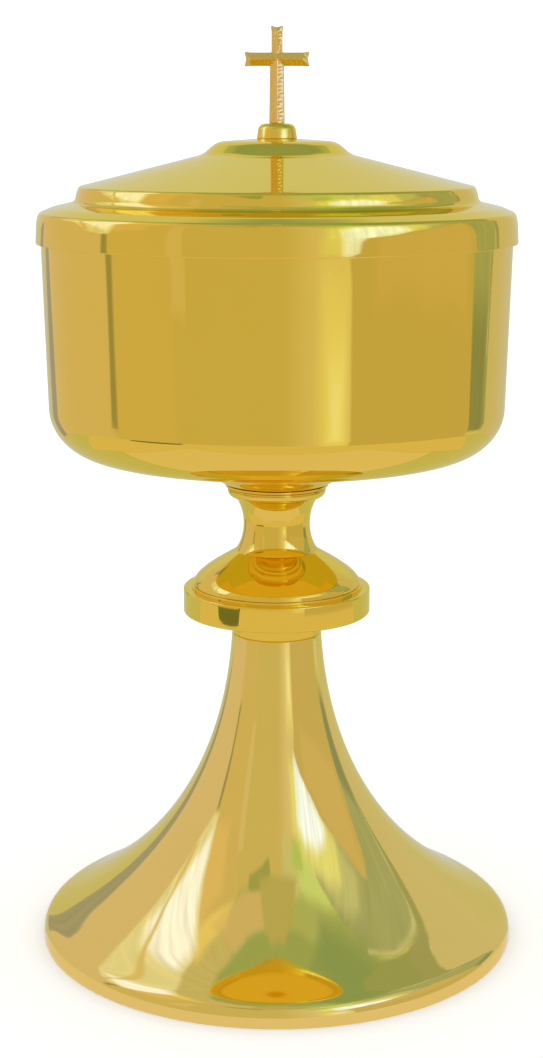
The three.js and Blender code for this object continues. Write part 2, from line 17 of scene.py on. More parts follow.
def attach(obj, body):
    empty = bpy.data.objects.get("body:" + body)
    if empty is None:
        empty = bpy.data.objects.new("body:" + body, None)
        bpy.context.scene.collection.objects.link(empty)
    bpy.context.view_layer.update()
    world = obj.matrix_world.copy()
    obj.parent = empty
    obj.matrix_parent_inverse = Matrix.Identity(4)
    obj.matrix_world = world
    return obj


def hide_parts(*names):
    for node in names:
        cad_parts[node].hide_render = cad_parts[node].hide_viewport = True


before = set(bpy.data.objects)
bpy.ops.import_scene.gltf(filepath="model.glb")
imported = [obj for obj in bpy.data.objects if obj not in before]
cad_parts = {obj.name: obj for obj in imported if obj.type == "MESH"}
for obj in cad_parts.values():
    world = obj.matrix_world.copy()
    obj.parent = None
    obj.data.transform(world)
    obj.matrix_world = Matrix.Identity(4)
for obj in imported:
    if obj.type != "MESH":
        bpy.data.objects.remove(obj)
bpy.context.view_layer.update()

# The camera. The photograph was taken from just above the lid, looking down on it, with a lens of moderate length
# about half a metre from the axis. The perspective was fitted to the ellipses of foot, knop, bowl and lid.
MM = 0.001
PHOTO_HEIGHT = 1058  # pixels
FOCAL_LENGTH = 1925  # pixels
LOOK_DOWN = 12.105  # degrees
EYE = (-1.38, -497.1, 217.87)
SENSOR_HEIGHT = 36

eye = bpy.data.cameras.new("eye")
eye.sensor_fit = "VERTICAL"
eye.sensor_height = SENSOR_HEIGHT
eye.lens = SENSOR_HEIGHT * FOCAL_LENGTH / PHOTO_HEIGHT
eye.clip_start = 0.01
camera = bpy.data.objects.new("camera", eye)
camera.location = [at * MM for at in EYE]
camera.rotation_euler = (math.radians(90 - LOOK_DOWN), 0, 0)
bpy.context.scene.collection.objects.link(camera)
bpy.context.scene.camera = camera

# The studio: a plain pale table under an even white sky, and round the vessel a low tent of white cloth with soft
# lamps, gaps and folds in it. The camera doesn't see the tent: it is there for the polished gold to mirror.
TABLE_RADIUS = 6000
TABLE_COLOUR = "F4F4F2"
TABLE_ROUGHNESS = 0.9
TENT_RADIUS = 420
TENT_CENTRE = 100
TENT_TOP = 89  # degrees, just short of the point overhead
LAYER_GAP = 3
WAVER = 1.2  # degrees, how far the edges of the cloths stray
WAVER_LENGTH = 13  # degrees
FOLDS = (0.3, 0.03, 1)  # per degree: folds about 3 degrees wide and ten times as long
SKY_LIGHT = 1.3
SHARP_EDGE = math.radians(35)


def linear(colour):
    """An sRGB colour written as hex, as linear red, green, blue and alpha."""
    parts = [int(colour[i:i + 2], 16) / 255 for i in (0, 2, 4)]
    return [p / 12.92 if p <= 0.04045 else ((p + 0.055) / 1.055) ** 2.4 for p in parts] + [1]


def add_node(material, kind, settings=None, inputs=None):
    """Adds a node to a material, gives it its settings, and sets its inputs or links them to other nodes' outputs."""
    node = material.node_tree.nodes.new(kind)
    for name, value in (settings or {}).items():
        setattr(node, name, value)
    for name, value in (inputs or {}).items():
        if isinstance(value, bpy.types.NodeSocket):
            material.node_tree.links.new(value, node.inputs[name])
        else:
            node.inputs[name].default_value = value
    return node


def bare_material(name):
    """A material without any node yet."""
    material = bpy.data.materials.new(name)
    material.use_nodes = True
    material.node_tree.nodes.clear()
    return material


def new_material(name):
    """A material whose Principled shader is already linked to the output."""
    material = bare_material(name)
    shader = add_node(material, "ShaderNodeBsdfPrincipled")
    add_node(material, "ShaderNodeOutputMaterial", inputs={"Surface": shader.outputs["BSDF"]})
    return material, shader


def piece_from(bm, name, *materials):
    """A smooth-shaded object at the origin from a finished bmesh, which is used up."""
    mesh = bpy.data.meshes.new(name)
    bm.to_mesh(mesh)
    bm.free()
    mesh.shade_smooth()
    mesh.set_sharp_from_angle(angle=SHARP_EDGE)
    for material in materials:
        mesh.materials.append(material)
    piece = bpy.data.objects.new(name, mesh)
    bpy.context.scene.collection.objects.link(piece)
    return piece


scene = bpy.context.scene
scene.view_settings.view_transform = "Standard"
sky = bpy.data.worlds.new("sky")
sky.use_nodes = True
sky.node_tree.nodes["Background"].inputs["Color"].default_value = (1, 1, 1, 1)
sky.node_tree.nodes["Background"].inputs["Strength"].default_value = SKY_LIGHT
scene.world = sky

# Matt paint on a board. It scatters the light, so the table is an even pale ground that only takes a faint shade
# under the foot. The gold mirrors the sheets laid below in its place.
table_paint, shader = new_material("matt white paint")
shader.inputs["Base Color"].default_value = linear(TABLE_COLOUR)
shader.inputs["Roughness"].default_value = TABLE_ROUGHNESS
bm = bmesh.new()
bmesh.ops.create_circle(bm, cap_ends=True, segments=64, radius=TABLE_RADIUS * MM)
table = piece_from(bm, "table", table_paint)
table.visible_glossy = False


def mirrored_only(patch):
    """Hides a patch of the studio from the camera, from diffuse light and from shadows, so that it shows in reflections
    only.
    """
    patch.visible_camera = False
    patch.visible_diffuse = False
    patch.visible_shadow = False


def hang(name, colour, light, corners, fade, layer, folds=0):
    """A piece of the tent: a patch whose corners are (azimuth, elevation) in degrees, seen from the tent's centre.

    Azimuth 0 is towards the camera and positive to its right. The outline wavers a little, and the patch fades out
    across it over so many degrees. A higher layer hangs further in. Folds is the share by which upright folds
    brighten and darken the cloth.
    """
    cloth = bare_material(name)
    cover = add_node(cloth, "ShaderNodeAttribute", {"attribute_name": "cover"})
    spot = add_node(cloth, "ShaderNodeAttribute", {"attribute_name": "spot"})
    stretch = add_node(cloth, "ShaderNodeMapping", inputs={"Vector": spot.outputs["Vector"], "Scale": FOLDS})
    waves = add_node(cloth, "ShaderNodeTexNoise", inputs={"Vector": stretch.outputs["Vector"], "Scale": 1, "Detail": 3})
    brightness = add_node(cloth, "ShaderNodeMapRange", inputs={
        "Value": waves.outputs["Fac"], "From Min": 0.3, "From Max": 0.7,
        "To Min": light * (1 - folds), "To Max": light * (1 + folds)})
    glow = add_node(cloth, "ShaderNodeEmission", inputs={
        "Color": linear(colour), "Strength": brightness.outputs["Result"]})
    clear = add_node(cloth, "ShaderNodeBsdfTransparent")
    mixed = add_node(cloth, "ShaderNodeMixShader", inputs={
        0: cover.outputs["Fac"], 1: clear.outputs["BSDF"], 2: glow.outputs["Emission"]})
    add_node(cloth, "ShaderNodeOutputMaterial", inputs={"Surface": mixed.outputs["Shader"]})
    cloth.cycles.emission_sampling = "NONE"

    # The patch is a grid. Each vertex is told how far inside the outline it lies, then moved onto the tent.
    outline = np.array(corners, float)
    low, high = outline.min(axis=0) - fade, np.minimum(outline.max(axis=0) + fade, (360, TENT_TOP))
    step = min(3, max(0.5, fade / 5))  # degrees between the vertices that carry the fade
    bm = bmesh.new()
    bmesh.ops.create_grid(bm, x_segments=int((high[0] - low[0]) / step) + 1,
                          y_segments=int((high[1] - low[1]) / step) + 1, size=0.5)
    spots = low + (np.array([v.co.xy for v in bm.verts]) + 0.5) * (high - low)
    inside = np.zeros(len(spots), bool)
    away = np.full(len(spots), 360.0)
    for a, b in zip(outline, np.roll(outline, -1, axis=0)):
        side = b - a
        reach = spots - a
        share = np.clip(reach @ side / (side @ side), 0, 1)
        away = np.minimum(away, np.linalg.norm(reach - share[:, None] * side, axis=1))
        if side[1]:
            inside ^= ((a[1] > spots[:, 1]) != (b[1] > spots[:, 1])) & (
                spots[:, 0] < a[0] + side[0] * (spots[:, 1] - a[1]) / side[1])
    away = np.where(inside, away, -away)
    cover = bm.verts.layers.float.new("cover")
    spot = bm.verts.layers.float_vector.new("spot")
    for v, (azimuth, elevation), depth in zip(bm.verts, spots, away):
        v[spot] = (azimuth, elevation, 0)
        v[cover] = 1
        if fade:
            depth += WAVER * noise.noise(Vector((azimuth / WAVER_LENGTH, elevation / WAVER_LENGTH, layer)))
            share = min(1, max(0, 0.5 + depth / fade))
            v[cover] = share * share * (3 - 2 * share)
        azimuth, elevation = math.radians(azimuth), math.radians(elevation)
        v.co = Vector((math.cos(elevation) * math.sin(azimuth), -math.cos(elevation) * math.cos(azimuth),
                       math.sin(elevation))) * (TENT_RADIUS - LAYER_GAP * layer) * MM + Vector((0, 0, TENT_CENTRE * MM))
    mirrored_only(piece_from(bm, name, cloth))


def block(left, right, bottom, top):
    """The four corners of an upright patch."""
    return [(left, bottom), (right, bottom), (right, top), (left, top)]


# The walls of the tent: in front, behind, and the cloths at either side, tan and pink where they are close.
hang("tent_front", "D0C6C5", 1, block(-90, 90, -15, TENT_TOP), 0, 0)
hang("tent_back", "D6DBE2", 1, block(90, 270, -15, TENT_TOP), 0, 0)
hang("back_foot", "CCCDD2", 1, block(136, 224, -16, 12), 16, 1)
hang("left_cloth", "DACEF3", 1, [(-138, -16), (-138, 14), (-152, 20), (-152, 40), (-81, 40), (-81, -16)], 4, 2)
hang("right_cloth", "D1CEF1", 1, [(116, -16), (116, 0), (119, 5), (119.3, 24), (116.8, 31), (118, 34), (122, 39),
                                  (133, 39), (133, -16)], 1.5, 2)
hang("right_cloth_end", "D1CEF1", 1, block(126, 143, -16, 39), 16, 1.5)
hang("tan_left", "D4C7C7", 1, block(-82, -46, -16, 54), 2, 2)
hang("pink_left", "E2CED3", 1, [(-79, 22), (-60, 26), (-60, 48), (-82, 52)], 6, 3)
hang("front_glow", "DDD6F6", 1, block(9, 40, -16, 40), 18, 1)
hang("right_tan", "CBC0C0", 1, [(33, -16), (33, 5), (30, 10), (37, 15), (60, 24), (75, 28), (87, 31.5), (93, 31),
                                (97, 20), (100, 8), (103, -4), (104, -16)], 1, 8)
hang("right_pink", "D3C4CB", 1, [(44, 4), (96, 4), (92, 29), (76, 27), (60, 22), (44, 15)], 4, 9)

# Gaps and seams between the cloths, and a narrow lit strip low down on the right.
hang("pale_strip", "DACEE4", 1, block(-47.5, -41, 3, 38), 2, 3)
hang("slit", "A0A0AB", 1, block(-83, -79, -4, 17), 1.5, 5)
hang("left_gap", "A6AAE4", 1, [(-143, -16), (-143.8, -4), (-144.6, 1), (-143, 6), (-140, 12), (-137.5, 15.5),
                               (-135.6, 14), (-135.6, 6), (-134.8, 0), (-133.5, -6), (-133, -16)], 1, 4, 0.1)
hang("upper_seam", "A0AFE1", 1, [(-145, 30), (-145, 44), (-136, 56), (-126, 56), (-139, 43), (-140, 30)], 2, 4)
hang("gap_foot", "929EBC", 1, block(101, 116, -9, 4), 5, 4, 0.08)
hang("strip_light", "ECEBFF", 1, block(19, 32, -16, 6), 8, 5)
hang("strip_lamp", "C6CAFF", 1.7, block(23, 29, -7, 0), 6, 6)

# What hangs overhead: the ceiling, greyer towards its middle and back, with paler and darker cloths at its edge.
hang("ceiling", "B1C4C5", 1, block(-150, 150, 52, TENT_TOP), 5, 1)
hang("zenith", "A0B6B3", 1, block(-170, 170, 69, TENT_TOP), 5, 2)
hang("ceiling_back", "95ACBF", 1, block(105, 255, 60, TENT_TOP), 8, 2)
hang("ceiling_side", "CDEBEE", 1, [(23, 40), (34, 36), (46, 43), (60, 48), (66, 52), (54, 55), (38, 56), (25, 54)],
     8, 2)
hang("ceiling_left", "CBC9DC", 1, block(-125, -45, 58, 70), 3, 3, 0.06)
hang("ceiling_pink", "D3C6DE", 1, [(-72, 57), (-40, 53), (-12, 55), (-14, 69), (-60, 69)], 4, 4)
hang("ceiling_right", "8EAAAF", 1, [(52, 60), (76, 56), (100, 52), (125, 42), (128, 60), (112, 76), (60, 76)], 14, 3)
hang("ceiling_glow", "CBD7F0", 1, block(8, 26, 38, 56), 9, 4)
hang("ceiling_green", "B9D9C0", 1, block(19, 30, 36, 46), 5, 5)
hang("cream_edge", "EDDFDD", 1, [(-90, 52), (-62, 53), (-50, 54), (-60, 60), (-90, 61)], 4, 4)
hang("right_grey", "9DADB2", 1, [(100, 54), (106, 46), (114, 35), (121, 35), (132, 42), (132, 62), (106, 62)], 2, 4)
hang("dark_corner", "A5B1A7", 1, [(-34, 52), (-32, 47.5), (-18, 46), (-10, 44), (-8, 49), (-12, 54), (-30, 54)],
     2.5, 5)
hang("pillar", "BCBCBA", 1, [(-20, 50), (22, 50), (20, 67), (12, 74), (-10, 74), (-18, 67)], 5, 6)

# The left lamp, behind a lobe of cloth with one fold across it.
hang("left_lobe", "C8CCFF", 1.4, [(-93, 20), (-104, 26), (-112, 30), (-126, 33), (-130, 40), (-122, 47),
                                  (-112, 59), (-86, 58), (-81.5, 52), (-78.5, 42), (-77, 30), (-77, 18), (-84, 16)],
     2, 5, 0.08)
hang("left_lamp", "8C96FF", 4, [(-110, 34), (-104, 56), (-88, 56), (-83, 50), (-80.5, 40), (-79, 30), (-80, 22),
                                (-92, 27), (-102, 31)], 6, 6, 0.2)
hang("left_fold", "DDD3E4", 1, [(-118, 49), (-106, 38), (-98, 28), (-92, 21), (-95, 21), (-101, 29), (-109, 38),
                                (-121, 46)], 2, 7)

# The right lamp, behind a pleated fan of cloth with a pale hem, and the shade between the hem and the wall.
hang("fan", "AAB8D6", 1, [(38, 30), (46, 46), (60, 52), (76, 55), (89, 55.5), (94, 54.6), (99.6, 50.8),
                          (105.6, 46.8), (109.8, 40.6), (114.6, 33.8), (117, 26), (116.6, 20), (117.6, 8), (118, -5),
                          (112, -9), (105, -8), (101, -2), (99, 10), (96, 21), (92, 31), (86, 31), (72, 27),
                          (56, 22)], 1.2, 3, 0.08)
hang("fan_middle", "C5D3F7", 1, [(34, 18), (36, 39), (48, 45), (62, 50), (74, 51), (84, 45), (86, 33), (72, 27),
                                 (54, 21)], 9, 4, 0.08)
hang("fan_near", "E8F4FF", 1.02, [(20, 14), (21, 34), (32, 39), (46, 44), (60, 46), (70, 41), (70, 28), (50, 20),
                                  (34, 14)], 9, 5, 0.08)
hang("fan_lamp", "7A8AFF", 5.2, [(29, 13), (28, 22), (28, 31), (36, 36), (48, 36), (57, 32), (60, 27), (52, 22),
                                 (42, 17)], 7, 6, 0.2)
hang("fan_shade", "A4AEBE", 1, [(118, -2), (117, 3), (116.5, 12), (115.6, 20), (116, 27), (113.5, 33.5), (109, 40),
                                (112, 46), (124, 41), (121, 36.5), (117.8, 34), (116.9, 31), (119, 26), (119.3, 20),
                                (119.2, 10), (118.5, 3)], 0.8, 6)
hang("fan_hem", "CBD4FF", 1, [(93, 54.3), (98.8, 50.4), (104.6, 46.3), (108.6, 40.2), (113.3, 33.2), (115.2, 29),
                              (115.8, 24), (115.2, 19.5), (116, 13), (116.9, 7), (117.4, 1), (116.2, 1), (115.6, 7),
                              (114.7, 13), (113.9, 20), (114.6, 24), (114.4, 28.6), (112.6, 32.8), (108, 39.5),
                              (104, 45.5), (98.4, 49.7), (92.8, 53.6)], 0.6, 7)


def lay(name, colour, corners, height):
    """A flat sheet that stands for the table, or for what lies on it, in the gold's reflections."""
    sheet = bare_material(name)
    glow = add_node(sheet, "ShaderNodeEmission", inputs={"Color": linear(colour), "Strength": 1})
    add_node(sheet, "ShaderNodeOutputMaterial", inputs={"Surface": glow.outputs["Emission"]})
    sheet.cycles.emission_sampling = "NONE"
    bm = bmesh.new()
    bm.faces.new([bm.verts.new((x * MM, y * MM, height * MM)) for x, y in corners])
    mirrored_only(piece_from(bm, name, sheet))


# The table as the gold sees it: bluer in front of the foot, greyer behind it, with a green cloth far to the left.
lay("table_seen", "E1D3D8", [(-450, -450), (450, -450), (450, 450), (-450, 450)], -0.5)
lay("near_table", "E5D9FC", [(-180, -200), (180, -200), (180, -5), (-180, -5)], -0.2)
lay("table_behind", "CCD0D8", [(-200, -5), (200, -5), (200, 100), (450, 100), (450, 450), (-450, 450), (-450, 100),
                               (-200, 100)], -0.4)
lay("green_cloth", "737C6F", [(-410, -106), (-300, -335), (-262, -250), (-356, -106)], -0.3)

# The foot: a trumpet spun from one sheet of brass, flat on top, with a rolled edge whose hem is turned in under it.
# It is buffed to a mirror and gold-plated outside. Inside, the marks of the spinning tool are left.
FOOT_HEIGHT = 83.6
FOOT_RADIUS = 63.6
FOOT_WALL = 1.2
NECK_RADIUS = 11.9
NECK_EDGE = 0.5
NECK_LEAN = 3
NECK_PULL = 46.4
BRIM_WIDTH = 11.85
BRIM_HEIGHT = 11.1
BRIM_SLOPE = math.radians(33.8)
FLARE_RUN = 13.7
FLARE_STEPS = 80
BRIM_RUN = 11.9
BRIM_STEPS = 50
EDGE_ROLL = 5.85
HEM_WIDTH = 3.4
HEM_BEVEL = 0.4
ROD_BORE = 3.3
WIDE_TURN = 192  # facets round a wide piece
CHORD = 1.3  # longest straight step along a spun outline, short enough for a mirror
ARC_STEP = 6  # degrees from facet to facet of a fillet
ROUNDED = 0.9  # share of a small edge that its rounding takes up


def spun(name, base, corners, turns, material, wall=0, rims=()):
    """A turned piece about Z, standing on the height base, in millimetres.

    Each corner of its half outline is (r, z) or (r, z, fillet). With a wall the outline is one face of a sheet
    that gets its thickness inwards, otherwise it closes on itself or on the axis. Rims are circles (r, z, fillet)
    that are rounded last.
    """
    bm = bmesh.new()
    points = [bm.verts.new((r * MM, 0, (base + z) * MM)) for r, z, *_ in corners]
    closes = not wall and corners[0][0] > 0
    for a, b in zip(points, points[1:] + points[:1] if closes else points[1:]):
        bm.edges.new((a, b))
    for point, (_, _, *fillet) in zip(points, corners):
        if fillet:
            a, b = (edge.other_vert(point).co - point.co for edge in point.link_edges)
            reach = fillet[0] * MM / math.tan(a.angle(b) / 2)
            segments = 3 + int(math.degrees(math.pi - a.angle(b)) / ARC_STEP * min(1, fillet[0]))
            bmesh.ops.bevel(bm, geom=[point], offset=reach, offset_type="OFFSET", segments=segments,
                            profile=0.5, affect="VERTICES", material=-1)
    for edge in bm.edges[:]:
        cuts = int(edge.calc_length() / (CHORD * MM))
        if cuts:
            bmesh.ops.subdivide_edges(bm, edges=[edge], cuts=cuts)
    bmesh.ops.spin(bm, geom=bm.verts[:] + bm.edges[:], axis=(0, 0, 1), cent=(0, 0, 0), dvec=(0, 0, 0),
                   angle=2 * math.pi, steps=turns, use_merge=True, use_duplicate=False)
    bmesh.ops.remove_doubles(bm, verts=bm.verts, dist=1e-7)
    bmesh.ops.recalc_face_normals(bm, faces=bm.faces)
    if wall:
        inner = bmesh.ops.solidify(bm, geom=bm.faces[:], thickness=wall * MM)
        for face in inner["geom"]:
            if isinstance(face, bmesh.types.BMFace):
                face.material_index = 1
    for r, z, fillet in rims:
        circle = [edge for edge in bm.edges if all(
            abs(v.co.xy.length - r * MM) < 1e-5 and abs(v.co.z - (base + z) * MM) < 1e-5 for v in edge.verts)]
        bmesh.ops.bevel(bm, geom=circle, offset=fillet * MM, offset_type="OFFSET", segments=4,
                        profile=0.5, affect="EDGES", material=-1)
    piece = piece_from(bm, name, *material)
    weighted = piece.modifiers.new("even_shading", "WEIGHTED_NORMAL")
    weighted.keep_sharp = True
    return piece


def fit(piece, body, node):
    """Puts a piece on its CAD body in place of a CAD node, which it hides."""
    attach(piece, body)
    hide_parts(node)


GLANCING_GOLD = "FFFCDA"  # gold stays a little yellow at a glancing angle
TOOL_LINES = 2000  # per metre, one every 0.5 mm: coarser than the real ones, so that they show at all
CLOUDS = 45  # per metre: the plate changes its tone over about 22 mm
SWELLS = 28  # per metre: the sheet rises and falls over about 36 mm
DRIFT = 0.01  # how slowly the lines change round the axis, beside how fast they change along it


def plated(name, deep, pale, mirror, haze, line_height, ripple):
    """Gold plate on turned or spun brass, with the heights of its lines and ripples in millimetres.

    The buffing wheel and the tool ran round the axis, so the fine lines that they left follow the turning: they are
    a noise read over radius and height. Ripple is the slow unevenness of sheet worked over a chuck.
    """
    plate, shader = new_material(name)
    place = add_node(plate, "ShaderNodeTexCoord")
    split = add_node(plate, "ShaderNodeSeparateXYZ", inputs={0: place.outputs["Object"]})
    flat = add_node(plate, "ShaderNodeCombineXYZ", inputs={0: split.outputs["X"], 1: split.outputs["Y"]})
    radius = add_node(plate, "ShaderNodeVectorMath", {"operation": "LENGTH"}, {0: flat.outputs["Vector"]})
    around = add_node(plate, "ShaderNodeVectorMath", {"operation": "SCALE"}, {
        0: flat.outputs["Vector"], "Scale": DRIFT})
    turn = add_node(plate, "ShaderNodeSeparateXYZ", inputs={0: around.outputs["Vector"]})
    along = add_node(plate, "ShaderNodeCombineXYZ", inputs={
        0: radius.outputs["Value"], 1: turn.outputs["X"], 2: split.outputs["Z"]})
    lines = add_node(plate, "ShaderNodeTexNoise", inputs={
        "Vector": along.outputs["Vector"], "Scale": TOOL_LINES, "Detail": 2, "Roughness": 0.6})
    cloud = add_node(plate, "ShaderNodeTexNoise", inputs={
        "Vector": place.outputs["Object"], "Scale": CLOUDS, "Detail": 3, "Roughness": 0.5})
    swell = add_node(plate, "ShaderNodeTexNoise", inputs={
        "Vector": place.outputs["Object"], "Scale": SWELLS, "Detail": 0})
    colour = add_node(plate, "ShaderNodeMix", {"data_type": "RGBA"}, {
        0: cloud.outputs["Fac"], 6: linear(deep), 7: linear(pale)})
    dulled = add_node(plate, "ShaderNodeMapRange", inputs={
        "Value": lines.outputs["Fac"], "From Min": 0.3, "From Max": 0.7, "To Min": mirror, "To Max": haze})
    waves = add_node(plate, "ShaderNodeBump", inputs={
        "Strength": 1, "Distance": ripple * MM, "Height": swell.outputs["Fac"]})
    marks = add_node(plate, "ShaderNodeBump", inputs={
        "Strength": 1, "Distance": line_height * MM, "Height": lines.outputs["Fac"], "Normal": waves.outputs["Normal"]})
    shader.inputs["Metallic"].default_value = 1
    shader.inputs["Specular Tint"].default_value = linear(GLANCING_GOLD)
    plate.node_tree.links.new(colour.outputs[2], shader.inputs["Base Color"])
    plate.node_tree.links.new(dulled.outputs["Result"], shader.inputs["Roughness"])
    plate.node_tree.links.new(marks.outputs["Normal"], shader.inputs["Normal"])
    return plate


# Gold plate over sheet brass buffed to a mirror. It gives sharp images of the tent, drawn out by the flare and a
# little wavy where the sheet was worked over the chuck.
foot_gold = plated("mirror-buffed gold plate of the foot", "F6DC68", "FAE06E", 0.03, 0.05, 0.0002, 0.02)

# A thin gold flash over the marks of the spinning tool, which nobody buffs out inside. They spread each reflection
# across them into a soft sheen. Its colour is also painted paler than the plate outside: painted light that lifts
# the shade in the hollow insides.
gold_inside = plated("gold flash over spinning marks", "F2D87E", "FAE596", 0.14, 0.24, 0.002, 0.02)

meeting = Vector((FOOT_RADIUS - BRIM_WIDTH, BRIM_HEIGHT))
slope = Vector((math.cos(BRIM_SLOPE), -math.sin(BRIM_SLOPE)))
flare = interpolate_bezier(
    (NECK_RADIUS, FOOT_HEIGHT - NECK_EDGE),
    (NECK_RADIUS + NECK_LEAN, FOOT_HEIGHT - NECK_PULL),
    meeting - slope * FLARE_RUN,
    meeting,
    FLARE_STEPS,
)
brim = interpolate_bezier(
    meeting,
    meeting + slope * BRIM_RUN,
    (FOOT_RADIUS, HEM_BEVEL + EDGE_ROLL),
    (FOOT_RADIUS, HEM_BEVEL),
    BRIM_STEPS,
)
foot = spun("foot", 0, [
    (ROD_BORE, FOOT_HEIGHT),
    (NECK_RADIUS, FOOT_HEIGHT),
    *flare,
    *brim[1:],
    (FOOT_RADIUS, 0),
    (FOOT_RADIUS - HEM_WIDTH, 0),
], WIDE_TURN, (foot_gold, gold_inside), wall=FOOT_WALL, rims=[
    (NECK_RADIUS, FOOT_HEIGHT, ROUNDED * NECK_EDGE),
    (FOOT_RADIUS, 0, ROUNDED * HEM_BEVEL),
])
fit(foot, "stand", "foot_shell")

# The rod and what clamps it: a brass rod, turned and threaded, strings the whole stem together. Under the top of
# the foot it passes a broad washer, a split spring washer and a hexagon nut of zinc-plated steel.
ROD_RADIUS = 3
ROD_FOOT = 70.3
ROD_TOP = 128
HEAD_RADIUS = 8
HEAD_HEIGHT = 1.6
HEAD_EASE = 0.2
ROD_TURN = 48
THREAD_TOP = 84
THREAD_PITCH = 1
THREAD_DEPTH = 0.5
THREAD_STEPS = 36  # facets round one turn
LEAD_IN = 0.6  # how far the rod's end is turned down
CLAMP_TOP = FOOT_HEIGHT - FOOT_WALL
WASHER_RADIUS = 8.5
WASHER_HEIGHT = 1.5
WASHER_EASE = 0.15
WASHER_ROLL = 0.3  # on the side that the punch went in
WASHER_TURN = 64
SPRING_WIDTH = 2.1
SPRING_HEIGHT = 1.6
SPRING_EASE = 0.12
SPRING_STEPS = 60
SPLIT = 14  # degrees
NUT_HEIGHT = 5
NUT_FLATS = 10
NUT_EASE = 0.3
STAINS = 260  # per metre: dull spots about 4 mm wide
CUTS = (1, 1, 6)  # lines run round the axis, so they lie closer together along it
CUT_DEPTH = 0.03


def machined(name, deep, pale, mirror, haze, grain):
    """Metal as it leaves the lathe or the zinc bath: fine lines with a grain in millimetres, and dull stains."""
    metal, shader = new_material(name)
    place = add_node(metal, "ShaderNodeTexCoord")
    stretch = add_node(metal, "ShaderNodeMapping", inputs={"Vector": place.outputs["Object"], "Scale": CUTS})
    cuts = add_node(metal, "ShaderNodeTexNoise", inputs={
        "Vector": stretch.outputs["Vector"], "Scale": 1 / (grain * MM), "Detail": 3, "Roughness": 0.65})
    stains = add_node(metal, "ShaderNodeTexNoise", inputs={
        "Vector": place.outputs["Object"], "Scale": STAINS, "Detail": 4, "Roughness": 0.6})
    colour = add_node(metal, "ShaderNodeMix", {"data_type": "RGBA"}, {
        0: stains.outputs["Fac"], 6: linear(deep), 7: linear(pale)})
    dulled = add_node(metal, "ShaderNodeMapRange", inputs={
        "Value": stains.outputs["Fac"], "From Min": 0.3, "From Max": 0.7, "To Min": mirror, "To Max": haze})
    marks = add_node(metal, "ShaderNodeBump", inputs={
        "Strength": 0.5, "Distance": CUT_DEPTH * MM, "Height": cuts.outputs["Fac"]})
    shader.inputs["Metallic"].default_value = 1
    metal.node_tree.links.new(colour.outputs[2], shader.inputs["Base Color"])
    metal.node_tree.links.new(dulled.outputs["Result"], shader.inputs["Roughness"])
    metal.node_tree.links.new(marks.outputs["Normal"], shader.inputs["Normal"])
    return metal


# Bare brass from the lathe. The cuts of the tool break its yellow shine up. They are drawn 0.4 mm wide, coarser
# than the real ones, so that they show.
turned_brass = machined("turned brass with cutting marks", "B08C45", "CDAA5C", 0.22, 0.38, 0.4)

# Zinc plate on steel, cool grey and half bright: its reflections are blurred and dull spots lie between them.
zinc_steel = machined("bright zinc plate on steel", "9A9DA2", "BDBFC2", 0.25, 0.45, 0.7)

# One turn of the thread from root to root, over a flat crest, run up the rod and cut off at both ends.
bm = bmesh.new()
groove = [bm.verts.new(((ROD_RADIUS - depth) * MM, 0, (ROD_FOOT - THREAD_PITCH + up) * MM)) for depth, up in (
    (THREAD_DEPTH, 0), (THREAD_DEPTH, 0.1), (0, 0.48), (0, 0.62), (THREAD_DEPTH, THREAD_PITCH))]
flanks = [bm.edges.new(pair) for pair in zip(groove, groove[1:])]
threads = int((THREAD_TOP - ROD_FOOT) / THREAD_PITCH) + 2
bmesh.ops.spin(bm, geom=groove + flanks, axis=(0, 0, 1), cent=(0, 0, 0), dvec=(0, 0, THREAD_PITCH / THREAD_STEPS * MM),
               angle=2 * math.pi * threads, steps=THREAD_STEPS * threads, use_merge=False, use_duplicate=False)
bmesh.ops.remove_doubles(bm, verts=bm.verts, dist=1e-6)
for height, away in ((ROD_FOOT, -1), (THREAD_TOP, 1)):
    bmesh.ops.bisect_plane(bm, geom=bm.verts[:] + bm.edges[:] + bm.faces[:], plane_co=(0, 0, height * MM),
                           plane_no=(0, 0, away), clear_outer=True)
bmesh.ops.holes_fill(bm, edges=bm.edges[:], sides=0)
for v in bm.verts:
    limit = ROD_RADIUS - LEAD_IN + max(0, v.co.z / MM - ROD_FOOT)
    if v.co.xy.length > limit * MM:
        v.co.xy = v.co.xy.normalized() * limit * MM
bmesh.ops.recalc_face_normals(bm, faces=bm.faces)
thread = piece_from(bm, "rod_thread", turned_brass)
rod = spun("rod", 0, [
    (0, THREAD_TOP),
    (ROD_RADIUS, THREAD_TOP),
    (ROD_RADIUS, ROD_TOP - HEAD_HEIGHT),
    (HEAD_RADIUS, ROD_TOP - HEAD_HEIGHT, HEAD_EASE),
    (HEAD_RADIUS, ROD_TOP, HEAD_EASE),
    (0, ROD_TOP),
], ROD_TURN, (turned_brass,))
for piece in (thread, rod):
    fit(piece, "stand", "tie_rod")

clamp_washer = spun("washer_under_top", CLAMP_TOP - WASHER_HEIGHT, [
    (ROD_BORE, 0, WASHER_EASE),
    (WASHER_RADIUS, 0, WASHER_ROLL),
    (WASHER_RADIUS, WASHER_HEIGHT, WASHER_EASE),
    (ROD_BORE, WASHER_HEIGHT),
], WASHER_TURN, (zinc_steel,))
fit(clamp_washer, "stand", "clamp_washer")

